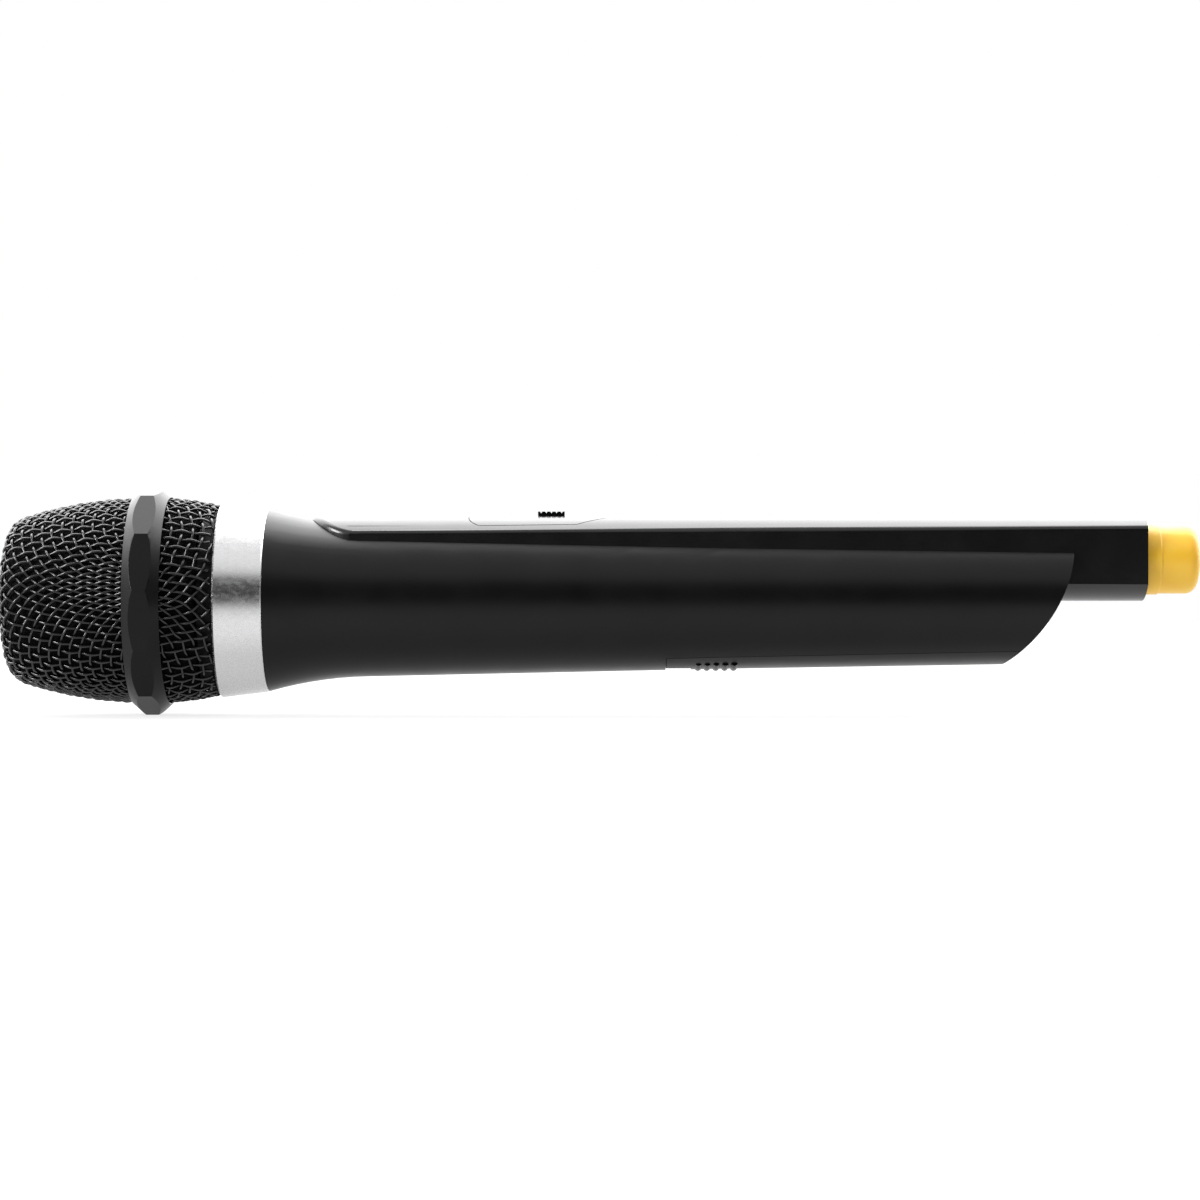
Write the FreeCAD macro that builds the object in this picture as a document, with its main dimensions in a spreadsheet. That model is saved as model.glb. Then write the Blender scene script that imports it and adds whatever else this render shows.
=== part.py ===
import FreeCAD, Part
import Sketcher
import math
import os
import re

# A hand-held wireless karaoke microphone. All sizes are in millimetres.
# +X runs along the microphone from the grille to the antenna tip, +Z is the side with the switch,
# and the origin is on the axis at mid-length. A station is a place along X.

SIZES = {
    "Overall stations along the axis": {
        "grille_front": -134.3,
        "ring_station": -100.2,
        "collar_front": -84.8,
        "collar_rear": -74.0,
        "tail_face": 122.1,
        "tip_end": 134.3,
    },
    "Wire grille: radii of the outline and of its arcs": {
        "mesh_wire": 0.9,
        "crown_flat": 1.0,
        "crown_edge_depth": 1.55,
        "crown_edge_radius": 13.3,
        "crown_curve": 58.0,
        "shoulder_depth": 5.4,
        "shoulder_radius": 18.9,
        "shoulder_curve": 5.6,
        "grille_radius": 23.1,
        "front_side_curve": 87.0,
        "front_mesh_end": -101.1,
        "rear_mesh_start": -99.3,
        "rear_mesh_end": -85.5,
        "rear_mesh_radius": 21.6,
        "rear_side_curve": 60.0,
        "foam_gap": 0.2,
        "foam_thickness": 2.2,
    },
    "Anti-roll ring": {
        "ring_radius": 25.75,
        "ring_base_radius": 23.4,
        "ring_bore": 23.15,
        "ring_web_bore": 21.6,
        "ring_base_half": 4.1,
        "ring_plateau_half": 1.45,
        "ring_web_half": 0.85,
        "ring_sides": 12,
        "ring_turn": -4.6,
    },
    "Screw neck, its seal and its socket": {
        "neck_bore": 14.0,
        "neck_seat_radius": 20.55,
        "neck_seat_front": -88.4,
        "neck_flange_radius": 21.5,
        "neck_flange_front": -85.45,
        "neck_flange_rear": -84.95,
        "neck_thread_radius": 16.3,
        "neck_rear": -76.2,
        "thread_gap": 0.05,
        "gasket_gap": 0.03,
        "gasket_radius": 18.6,
        "gasket_front": -84.9,
        "gasket_rear": -83.9,
        "socket_front": -83.8,
        "socket_step": -74.1,
        "socket_rear": -69.0,
        "socket_radius": 19.5,
        "socket_tail_radius": 17.3,
    },
    "Silver collar": {
        "collar_front_radius": 21.8,
        "collar_rear_radius": 20.45,
        "collar_bore": 19.55,
        "collar_lip": 0.35,
    },
    "Moving-coil capsule and its post": {
        "capsule_radius": 12.4,
        "capsule_wall": 0.8,
        "capsule_cap_front": -108.4,
        "capsule_front": -106.4,
        "capsule_rear": -90.0,
        "capsule_shelf_front": -97.0,
        "capsule_shelf_rear": -95.6,
        "cap_hole_radius": 1.5,
        "cap_hole_circle": 7.2,
        "cap_holes": 8,
        "cup_radius": 9.0,
        "cup_wall": 1.4,
        "cup_front": -103.0,
        "cup_rear": -92.6,
        "magnet_radius": 6.0,
        "pole_radius": 6.3,
        "pole_thickness": 1.8,
        "coil_inner": 6.65,
        "coil_outer": 7.2,
        "coil_front": -105.1,
        "coil_length": 4.4,
        "film_thickness": 0.2,
        "film_rim_radius": 11.4,
        "film_rise": 1.1,
        "mount_radius": 13.6,
        "mount_front": -94.0,
        "mount_rear": -86.0,
        "post_radius": 11.5,
        "post_bore": 10.0,
        "post_front": -90.0,
        "post_rear": -66.9,
        "post_flange": 15.9,
        "post_flange_front": -68.9,
        "rim_gap": 0.05,
    },
    "Round handle": {
        "neck_end": -52.0,
        "neck_end_radius": 17.1,
        "neck_curve": 86.0,
        "handle_end_radius": 14.1,
        "waist_station": 27.0,
        "waist_radius": 15.4,
        "handle_reach": 108.0,
        "handle_wall": 2.2,
        "cavity_end": 86.0,
        "end_top_x": 105.5,
        "end_top_z": 10.0,
        "end_low_x": 90.2,
        "end_low_z": -14.6,
        "end_curve": 42.0,
    },
    "Top module": {
        "spine_nose": -55.5,
        "spine_nose_curve": 11.0,
        "spine_half_front": 10.8,
        "spine_half_rear": 9.2,
        "spine_foot": 8.0,
        "spine_top": 19.15,
        "spine_crown": 16.6,
        "spine_wall": 1.8,
        "spine_ceiling": 16.6,
        "spine_shoulder": 1.4,
        "slot_gap": 0.08,
        "tail_start": 88.0,
        "tail_floor": -0.1,
        "tail_crown": 13.4,
        "tail_wall": 1.8,
        "tip_axis": 9.3,
    },
    "Switch plate, knob and light": {
        "plate_front": -29.0,
        "plate_bend_front": -26.6,
        "plate_bend_rear": -5.0,
        "plate_rear": 1.6,
        "plate_half": 8.7,
        "plate_half_rear": 8.2,
        "plate_end_half": 4.6,
        "plate_corner": 4.2,
        "plate_thickness": 1.0,
        "plate_gap": 0.18,
        "knob_front": -13.7,
        "knob_length": 6.0,
        "knob_half": 2.2,
        "knob_top": 19.95,
        "knob_gap": 0.2,
        "knob_flange_low": 14.7,
        "knob_flange_high": 15.7,
        "knob_flange_extra": 2.6,
        "knob_travel": 3.8,
        "knob_ribs": 4,
        "light_station": -25.7,
        "light_radius": 1.1,
        "light_gap": 0.05,
    },
    "Board, chassis and battery": {
        "board_front": -58.0,
        "board_rear": 76.0,
        "board_half": 7.4,
        "board_low": 5.2,
        "board_thickness": 1.6,
        "chassis_front": -62.0,
        "chassis_rear": 84.5,
        "chassis_half": 8.8,
        "deck_low": 3.6,
        "rail_height": 1.7,
        "rail_width": 1.2,
        "cradle_front": 17.0,
        "cradle_rear": 79.0,
        "cradle_low": -8.0,
        "cradle_end": 1.5,
        "battery_axis": -4.6,
        "battery_front": 22.4,
        "battery_length": 50.2,
        "battery_radius": 7.1,
        "battery_nub": 2.7,
        "battery_nub_length": 1.2,
        "battery_play": 0.3,
        "screw_shank": 1.0,
        "screw_head": 2.3,
        "screw_head_height": 1.5,
        "screw_boss": 2.7,
        "screw_tip": 14.0,
    },
    "Parts on the board": {
        "can_front": 30.0,
        "can_rear": 54.0,
        "can_half": 6.5,
        "can_height": 3.2,
        "can_wall": 0.3,
        "radio_front": 38.0,
        "radio_side": 6.0,
        "radio_height": 1.0,
        "audio_front": 14.5,
        "audio_length": 8.0,
        "audio_width": 6.0,
        "audio_height": 1.6,
        "crystal_front": -36.5,
        "crystal_rear": -30.0,
        "crystal_half": 2.2,
        "crystal_curve": 2.4,
        "crystal_height": 3.4,
        "capacitor_station": 62.0,
        "capacitor_radius": 2.5,
        "capacitor_height": 7.0,
    },
    "Battery cover": {
        "cover_front": 15.05,
        "cover_half": 8.7,
        "cover_top": -6.0,
        "cover_gap": 0.15,
        "cover_low_radius": 15.68,
        "grip_first": 22.2,
        "grip_pitch": 2.0,
        "grip_ribs": 5,
        "grip_bead": 0.75,
        "grip_sink": 0.35,
        "grip_sweep": 46.0,
        "thumb_length": 5.6,
        "thumb_depth": 0.45,
        "latch_half": 2.5,
        "latch_front": 12.2,
        "latch_low": -12.9,
        "latch_high": -12.1,
    },
    "Antenna and its yellow tip": {
        "tip_radius": 7.75,
        "tip_band_radius": 8.0,
        "tip_band_length": 3.2,
        "tip_round": 2.6,
        "tip_bore": 5.6,
        "tip_bore_depth": 9.6,
        "tip_plug_radius": 6.9,
        "tip_plug_length": 1.7,
        "tip_socket_gap": 0.05,
        "aerial_start": 94.0,
        "aerial_length": 35.0,
        "aerial_pitch": 2.8,
        "aerial_radius": 3.4,
        "aerial_wire": 0.45,
    },
}

doc = FreeCAD.newDocument("karaoke_microphone")
sheet = doc.addObject("Spreadsheet::Sheet", "Sizes")


def fill_sheet():
    """One row per size: its name in column A and its value, under that name as alias, in column B."""
    row = 1
    for heading, sizes in SIZES.items():
        sheet.set(f"A{row}", heading)
        row += 1
        for alias, value in sizes.items():
            sheet.set(f"A{row}", alias.replace("_", " "))
            sheet.set(f"B{row}", str(value))
            sheet.setAlias(f"B{row}", alias)
            row += 1
    doc.recompute()


ALIASES = {alias for sizes in SIZES.values() for alias in sizes}


def linked(formula):
    """The formula with each size's name pointing at the sheet."""
    def point_at_sheet(match):
        word = match.group(0)
        return f"Sizes.{word}" if word in ALIASES else word
    return re.sub(r"[a-z][a-z_0-9]*", point_at_sheet, formula)


def size(formula):
    return float(sheet.evalExpression(formula))


def bind(thing, prop, formula):
    thing.setExpression(prop, linked(formula))


# ---- sketches ----

def arc_middle(start, end, radius):
    """Middle of the arc from start to end; it bulges to the left of the way there for radius > 0."""
    chord = end - start
    half = chord.Length / 2
    rise = abs(radius) - math.sqrt(max(radius * radius - half * half, 0.0))
    left = FreeCAD.Vector(-chord.y, chord.x, 0).normalize()
    return (start + end) / 2 + left * math.copysign(rise, radius)


def end_of(sketch, edge, spot):
    """Which end of a sketch edge, 1 or 2, lies at the spot."""
    return 1 if (sketch.getPoint(edge, 1) - spot).Length < (sketch.getPoint(edge, 2) - spot).Length else 2


def fix_point(sketch, edge, end, place):
    """Dimension one point of an edge from the sketch's origin, or hold it on an axis where it is 0."""
    for word, axis, formula in (("DistanceX", -2, place[0]), ("DistanceY", -1, place[1])):
        if formula == "0":
            sketch.addConstraint(Sketcher.Constraint("PointOnObject", edge, end, axis))
            continue
        number = sketch.addConstraint(Sketcher.Constraint(word, -1, 1, edge, end, size(formula)))
        bind(sketch, f"Constraints[{number}]", formula)


def draw_outline(sketch, corners):
    """Closed outline. A corner is (x, y), or (x, y, radius) where an arc leads on to the next corner."""
    spots = [FreeCAD.Vector(size(corner[0]), size(corner[1]), 0) for corner in corners]
    edges = []
    for place, corner in enumerate(corners):
        start = spots[place]
        end = spots[(place + 1) % len(corners)]
        if len(corner) == 2:
            edge = Part.LineSegment(start, end)
        else:
            edge = Part.Arc(start, arc_middle(start, end, size(corner[2])), end)
        edges.append(sketch.addGeometry(edge, False))
    for place, corner in enumerate(corners):
        edge = edges[place]
        before = edges[place - 1]
        spot = spots[place]
        sketch.addConstraint(Sketcher.Constraint(
            "Coincident", before, end_of(sketch, before, spot), edge, end_of(sketch, edge, spot)))
        fix_point(sketch, edge, end_of(sketch, edge, spot), corner)
        if len(corner) == 3:
            number = sketch.addConstraint(Sketcher.Constraint("Radius", edge, abs(size(corner[2]))))
            bind(sketch, f"Constraints[{number}]", f"abs({corner[2]})")


def draw_circle(sketch, across, up, radius):
    centre = FreeCAD.Vector(size(across), size(up), 0)
    circle = Part.Circle(centre, FreeCAD.Vector(0, 0, 1), size(radius))
    edge = sketch.addGeometry(circle, False)
    fix_point(sketch, edge, 3, (across, up))
    number = sketch.addConstraint(Sketcher.Constraint("Radius", edge, size(radius)))
    bind(sketch, f"Constraints[{number}]", radius)


def new_body(label):
    body = doc.addObject("PartDesign::Body", label)
    body.Label = label
    return body


def new_sketch(body, plane, height, shapes):
    """Sketch on one of the body's own planes, moved along that plane's normal by height."""
    sketch = body.newObject("Sketcher::SketchObject", body.Name + "_sketch")
    origin_plane = [item for item in body.Origin.OriginFeatures if item.Role == plane][0]
    sketch.AttachmentSupport = (origin_plane, [""])
    sketch.MapMode = "FlatFace"
    bind(sketch, "AttachmentOffset.Base.z", height)
    for shape in shapes:
        if shape[0] == "circle":
            draw_circle(sketch, *shape[1:])
        else:
            draw_outline(sketch, shape)
    return sketch


# ---- features ----

def turn(body, corners, feature="PartDesign::Revolution", sweep="360"):
    """Turn an outline in the XZ plane about the X axis, to add it or, as a Groove, to cut it."""
    sketch = new_sketch(body, "XZ_Plane", "0", [corners])
    turned = body.newObject(feature, body.Name + "_turn")
    turned.Profile = sketch
    turned.ReferenceAxis = (sketch, ["H_Axis"])
    bind(turned, "Angle", sweep)
    turned.Midplane = True
    doc.recompute()
    return turned


def pad(body, plane, height, shapes, length):
    """Add an outline's extrusion along its plane's normal: +X from YZ, -Y from XZ, +Z from XY."""
    sketch = new_sketch(body, plane, height, shapes)
    feature = body.newObject("PartDesign::Pad", body.Name + "_pad")
    feature.Profile = sketch
    bind(feature, "Length", length)
    doc.recompute()
    return feature


def pocket(body, plane, height, shapes, length=None):
    """Cut an outline: by length along its plane's normal, or without a length right through both ways."""
    before = body.Shape.Volume
    sketch = new_sketch(body, plane, height, shapes)
    feature = body.newObject("PartDesign::Pocket", body.Name + "_pocket")
    feature.Profile = sketch
    if length is None:
        feature.Type = "ThroughAll"
        feature.SideType = "Symmetric"
    else:
        feature.Reversed = True
        bind(feature, "Length", length)
    doc.recompute()
    if not body.Shape.Volume < before - 0.01:
        raise RuntimeError(f"{feature.Name} cuts nothing")
    return feature


def turned_body(label, corners):
    body = new_body(label)
    turn(body, corners)
    return body


def box(name, low_x, high_x, low_y, high_y, low_z, high_z):
    """Part::Box between two corners, each side given as a formula."""
    made = doc.addObject("Part::Box", name)
    bind(made, "Placement.Base.x", low_x)
    bind(made, "Placement.Base.y", low_y)
    bind(made, "Placement.Base.z", low_z)
    bind(made, "Length", f"({high_x}) - ({low_x})")
    bind(made, "Width", f"({high_y}) - ({low_y})")
    bind(made, "Height", f"({high_z}) - ({low_z})")
    return made


AXIS_TURN = {
    "X": FreeCAD.Rotation(FreeCAD.Vector(0, 1, 0), 90),
    "Z": FreeCAD.Rotation(),
}


def cylinder(name, axis, radius, length, place):
    """Part::Cylinder along +X or +Z from its starting place, a triple of formulas."""
    made = doc.addObject("Part::Cylinder", name)
    made.Placement.Rotation = AXIS_TURN[axis]
    bind(made, "Radius", radius)
    bind(made, "Height", length)
    for word, formula in zip("xyz", place):
        bind(made, f"Placement.Base.{word}", formula)
    return made


def combined(kind, name, shapes):
    made = doc.addObject(kind, name)
    made.Shapes = shapes
    return made


def fused(name, *shapes):
    return combined("Part::MultiFuse", name, list(shapes))


def common(name, *shapes):
    return combined("Part::MultiCommon", name, list(shapes))


def cut(name, base, *tools):
    made = doc.addObject("Part::Cut", name)
    made.Base = base
    made.Tool = tools[0] if len(tools) == 1 else fused(name + "_tools", *tools)
    return made


def group(name, *solids):
    """Separate solids that share one node."""
    made = doc.addObject("Part::Compound", name)
    made.Links = list(solids)
    return made


def round_edges(body, radius, wanted):
    """Fillet the edges of the body's shape that the test picks."""
    base = body.Tip
    names = [f"Edge{number + 1}" for number, edge in enumerate(base.Shape.Edges) if wanted(edge)]
    if not names:
        raise RuntimeError(f"{body.Name} has no edge to round")
    fillet = body.newObject("PartDesign::Fillet", body.Name + "_fillet")
    fillet.Base = (base, names)
    bind(fillet, "Radius", radius)
    doc.recompute()
    return fillet


# ---- grille ----

def make_front_mesh():
    turned_body("front_mesh", [
        ("grille_front", "0"),
        ("grille_front", "crown_flat", "crown_curve"),
        ("grille_front + crown_edge_depth", "crown_edge_radius", "shoulder_curve"),
        ("grille_front + shoulder_depth", "shoulder_radius", "front_side_curve"),
        ("ring_station - ring_base_half", "grille_radius"),
        ("front_mesh_end", "grille_radius"),
        ("front_mesh_end", "grille_radius - mesh_wire"),
        ("ring_station - ring_base_half", "grille_radius - mesh_wire", "-front_side_curve"),
        ("grille_front + shoulder_depth + mesh_wire * 0.3", "shoulder_radius - mesh_wire",
         "-(shoulder_curve - mesh_wire)"),
        ("grille_front + crown_edge_depth + mesh_wire", "crown_edge_radius - mesh_wire * 0.3",
         "-crown_curve"),
        ("grille_front + mesh_wire", "crown_flat"),
        ("grille_front + mesh_wire", "0"),
    ])


def make_front_foam():
    skin = "mesh_wire + foam_gap"
    full = "mesh_wire + foam_gap + foam_thickness"
    turned_body("front_foam", [
        (f"grille_front + {skin}", "0"),
        (f"grille_front + {skin}", "crown_flat", "crown_curve"),
        (f"grille_front + crown_edge_depth + {skin}", f"crown_edge_radius - ({skin}) * 0.4",
         f"shoulder_curve - ({skin})"),
        (f"grille_front + shoulder_depth + ({skin}) * 0.4", f"shoulder_radius - ({skin})",
         "front_side_curve"),
        ("front_mesh_end", f"grille_radius - ({skin})"),
        ("front_mesh_end", f"grille_radius - ({full})", "-front_side_curve"),
        (f"grille_front + shoulder_depth + ({full}) * 0.4", f"shoulder_radius - ({full})",
         f"-(shoulder_curve - {skin})"),
        (f"grille_front + crown_edge_depth + {full}", f"crown_edge_radius - ({full}) * 0.5",
         "-crown_curve"),
        (f"grille_front + {full}", "crown_flat"),
        (f"grille_front + {full}", "0"),
    ])


def make_rear_mesh():
    turned_body("rear_mesh", [
        ("rear_mesh_start", "grille_radius"),
        ("ring_station + ring_base_half", "grille_radius", "rear_side_curve"),
        ("rear_mesh_end", "rear_mesh_radius"),
        ("rear_mesh_end", "rear_mesh_radius - mesh_wire", "-rear_side_curve"),
        ("ring_station + ring_base_half", "grille_radius - mesh_wire"),
        ("rear_mesh_start", "grille_radius - mesh_wire"),
    ])


def make_rear_foam():
    skin = "mesh_wire + foam_gap"
    full = "mesh_wire + foam_gap + foam_thickness"
    turned_body("rear_foam", [
        ("rear_mesh_start", f"grille_radius - ({skin})"),
        ("ring_station + ring_base_half", f"grille_radius - ({skin})", "rear_side_curve"),
        ("neck_seat_front - foam_gap", f"rear_mesh_radius + 0.6 - ({skin})"),
        ("neck_seat_front - foam_gap", f"rear_mesh_radius + 0.6 - ({full})", "-rear_side_curve"),
        ("ring_station + ring_base_half", f"grille_radius - ({full})"),
        ("rear_mesh_start", f"grille_radius - ({full})"),
    ])


def make_anti_roll_ring():
    """A turned ring of trapezoid section, cut to twelve sides; an inner web parts the two cups."""
    form = new_body("ring_form")
    turn(form, [
        ("ring_station - ring_base_half", "ring_bore"),
        ("ring_station - ring_base_half", "ring_base_radius"),
        ("ring_station - ring_plateau_half", "ring_radius"),
        ("ring_station + ring_plateau_half", "ring_radius"),
        ("ring_station + ring_base_half", "ring_base_radius"),
        ("ring_station + ring_base_half", "ring_bore"),
        ("ring_station + ring_web_half", "ring_bore"),
        ("ring_station + ring_web_half", "ring_web_bore"),
        ("ring_station - ring_web_half", "ring_web_bore"),
        ("ring_station - ring_web_half", "ring_bore"),
    ])
    sides = doc.addObject("Part::Prism", "ring_sides_form")
    bind(sides, "Polygon", "ring_sides")
    bind(sides, "Circumradius", "ring_radius")
    bind(sides, "Height", "4 * ring_base_half")
    own_turn = FreeCAD.Rotation(FreeCAD.Vector(0, 0, 1), size("ring_turn"))
    sides.Placement.Rotation = AXIS_TURN["X"].multiply(own_turn)
    bind(sides, "Placement.Base.x", "ring_station - 2 * ring_base_half")
    common("anti_roll_ring", form, sides)


def make_grille_neck():
    """Flange under the rear cup, a seat inside it, and the threaded neck behind."""
    turned_body("grille_neck", [
        ("neck_seat_front", "neck_bore"),
        ("neck_seat_front", "neck_seat_radius"),
        ("neck_flange_front", "neck_seat_radius"),
        ("neck_flange_front", "neck_flange_radius"),
        ("neck_flange_rear", "neck_flange_radius"),
        ("neck_flange_rear", "neck_thread_radius"),
        ("neck_rear", "neck_thread_radius"),
        ("neck_rear", "neck_bore"),
    ])


def make_tube(label, front, rear, inner, outer):
    return turned_body(label, [(front, inner), (front, outer), (rear, outer), (rear, inner)])


def make_thread_insert():
    """Socket for the grille's neck: a wide sleeve under the collar and a spigot in the handle."""
    turned_body("thread_insert", [
        ("socket_front", "neck_thread_radius + thread_gap"),
        ("socket_front", "socket_radius"),
        ("socket_step", "socket_radius"),
        ("socket_step", "socket_tail_radius"),
        ("socket_rear", "socket_tail_radius"),
        ("socket_rear", "neck_thread_radius + thread_gap"),
    ])


def make_collar_ring():
    """Conical trim ring with a small chamfer at each edge."""
    turned_body("collar_ring", [
        ("collar_front", "collar_bore"),
        ("collar_front", "collar_front_radius - collar_lip"),
        ("collar_front + collar_lip", "collar_front_radius"),
        ("collar_rear - collar_lip", "collar_rear_radius + collar_lip * 0.3"),
        ("collar_rear", "collar_rear_radius - collar_lip * 0.5"),
        ("collar_rear", "collar_bore"),
    ])


# ---- capsule ----

def make_capsule():
    housing = turned_body("capsule_housing", [
        ("capsule_front", "capsule_radius - capsule_wall"),
        ("capsule_front", "capsule_radius"),
        ("capsule_rear", "capsule_radius"),
        ("capsule_rear", "capsule_radius - capsule_wall"),
        ("capsule_shelf_rear", "capsule_radius - capsule_wall"),
        ("capsule_shelf_rear", "cup_radius + rim_gap"),
        ("capsule_shelf_front", "cup_radius + rim_gap"),
        ("capsule_shelf_front", "capsule_radius - capsule_wall"),
    ])
    cap = turned_body("capsule_cap", [
        ("capsule_cap_front", "0"),
        ("capsule_cap_front", "crown_flat", "3 * capsule_radius"),
        ("capsule_front - 1", "capsule_radius"),
        ("capsule_front", "capsule_radius"),
        ("capsule_front", "capsule_radius - capsule_wall"),
        ("capsule_front - 0.6", "capsule_radius - capsule_wall", "-3 * capsule_radius"),
        ("capsule_cap_front + capsule_wall", "crown_flat"),
        ("capsule_cap_front + capsule_wall", "0"),
    ])
    pocket(cap, "YZ_Plane", "0", [("circle", "cap_hole_circle", "0", "cap_hole_radius")])
    hole = cap.Tip
    ring = cap.newObject("PartDesign::PolarPattern", "cap_hole_ring")
    ring.Originals = [hole]
    ring.Axis = (hole.Profile[0], ["N_Axis"])
    bind(ring, "Occurrences", "cap_holes")
    cap.Tip = ring
    doc.recompute()
    make_diaphragm()
    make_tube("voice_coil", "coil_front", "coil_front + coil_length", "coil_inner", "coil_outer")
    turned_body("magnet_cup", [
        ("cup_front", "cup_radius - cup_wall"),
        ("cup_front", "cup_radius"),
        ("cup_rear", "cup_radius"),
        ("cup_rear", "0"),
        ("cup_rear - cup_wall", "0"),
        ("cup_rear - cup_wall", "cup_radius - cup_wall"),
    ])
    cylinder("magnet", "X", "magnet_radius", "(cup_rear - cup_wall) - (cup_front + pole_thickness)",
             ("cup_front + pole_thickness", "0", "0"))
    cylinder("pole_piece", "X", "pole_radius", "pole_thickness", ("cup_front", "0", "0"))
    return housing


def make_diaphragm():
    """Thin film: a dome inside the coil, a shallow rolled surround outside it."""
    coil = "coil_outer"
    base = "coil_front - rim_gap"
    turned_body("diaphragm", [
        (f"{base} - film_rise - film_thickness", "0"),
        (f"{base} - film_rise - film_thickness", "crown_flat", "4 * film_rim_radius"),
        (f"{base} - film_thickness", coil, "1.5 * film_rim_radius"),
        (f"{base} - film_thickness", "film_rim_radius"),
        (base, "film_rim_radius", "-1.5 * film_rim_radius"),
        (base, coil, "-4 * film_rim_radius"),
        (f"{base} - film_rise", "crown_flat"),
        (f"{base} - film_rise", "0"),
    ])


def make_capsule_post():
    turned_body("capsule_holder", [
        ("post_front", "post_bore"),
        ("post_front", "post_radius"),
        ("post_flange_front", "post_radius"),
        ("post_flange_front", "post_flange"),
        ("post_rear", "post_flange"),
        ("post_rear", "post_bore"),
    ])
    turned_body("capsule_mount", [
        ("mount_front", "capsule_radius + rim_gap"),
        ("mount_front", "mount_radius"),
        ("mount_rear", "mount_radius"),
        ("mount_rear", "post_radius + rim_gap"),
        ("post_front + rim_gap", "post_radius + rim_gap"),
        ("post_front + rim_gap", "capsule_radius + rim_gap"),
    ])


# ---- handle ----

def make_handle_form():
    """Solid outer form of the handle, its far end cut off along a slanting curve."""
    form = new_body("handle_form")
    turn(form, [
        ("collar_rear", "0"),
        ("collar_rear", "collar_rear_radius - 0.05", "-neck_curve"),
        ("neck_end", "neck_end_radius"),
        ("waist_station", "waist_radius"),
        ("handle_reach", "handle_end_radius"),
        ("handle_reach", "0"),
    ])
    pocket(form, "XZ_Plane", "0", [[
        ("end_top_x - 0.6", "spine_top"),
        ("end_top_x", "end_top_z", "end_curve"),
        ("end_low_x", "end_low_z"),
        ("end_low_x - 3", "-spine_top"),
        ("handle_reach + 5", "-spine_top"),
        ("handle_reach + 5", "spine_top"),
    ]])
    return form


def make_handle_cavity():
    return turned_body("handle_cavity", [
        ("collar_rear - 1", "0"),
        ("collar_rear - 1", "socket_tail_radius + rim_gap"),
        ("socket_rear + rim_gap", "socket_tail_radius + rim_gap"),
        ("socket_rear + rim_gap", "post_flange + rim_gap"),
        ("post_rear + 0.4", "post_flange + rim_gap"),
        ("neck_end", "neck_end_radius - handle_wall"),
        ("waist_station", "waist_radius - handle_wall"),
        ("cavity_end", "handle_end_radius + 0.25 - handle_wall"),
        ("cavity_end", "0"),
    ])


def plan_outline(growth):
    """The top module's outline from above: a round nose and sides that draw in towards the tail."""
    front = f"spine_half_front + ({growth})"
    rear = f"spine_half_rear + ({growth})"
    end = f"tail_face + ({growth})"
    return [
        ("spine_nose", f"-({front})"),
        (end, f"-({rear})"),
        (end, rear),
        ("spine_nose", front, f"-(spine_nose_curve + ({growth}))"),
    ]


def tail_outline(growth):
    return [
        (f"tail_start - ({growth})", f"-(spine_half_rear + 0.2 + ({growth}))"),
        (f"tail_face + ({growth})", f"-(spine_half_rear + ({growth}))"),
        (f"tail_face + ({growth})", f"spine_half_rear + ({growth})"),
        (f"tail_start - ({growth})", f"spine_half_rear + 0.2 + ({growth})"),
    ]


def above_crown(offset):
    """Everything above the crowned top, as a cross-section; offset lowers the crown."""
    half = "spine_half_front + 1"
    edge = (f"spine_top - ({offset}) - spine_crown"
            f" + sqrt((spine_crown) ^ 2 - ({half}) ^ 2)")
    return [
        (f"-({half})", edge, "spine_crown"),
        (half, edge),
        (half, "spine_top + 3"),
        (f"-({half})", "spine_top + 3"),
    ]


def make_spine_form():
    form = new_body("spine_form")
    pad(form, "XY_Plane", "spine_foot", [plan_outline("0")], "spine_top + 1 - spine_foot")
    pad(form, "XY_Plane", "tail_floor", [tail_outline("0")], "spine_foot + 1 - tail_floor")
    pocket(form, "YZ_Plane", "0", [above_crown("0")])
    edge = "tail_floor + tail_crown - sqrt(tail_crown ^ 2 - (spine_half_rear + 0.5) ^ 2)"
    half = "spine_half_rear + 0.5"
    pocket(form, "YZ_Plane", "0", [[
        (f"-({half})", edge, "-tail_crown"),
        (half, edge),
        (half, "tail_floor - 1"),
        (f"-({half})", "tail_floor - 1"),
    ]])
    round_edges(form, "spine_shoulder", lambda edge: edge.BoundBox.ZMin > 14 and edge.BoundBox.XMin < 100)
    return form


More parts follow.
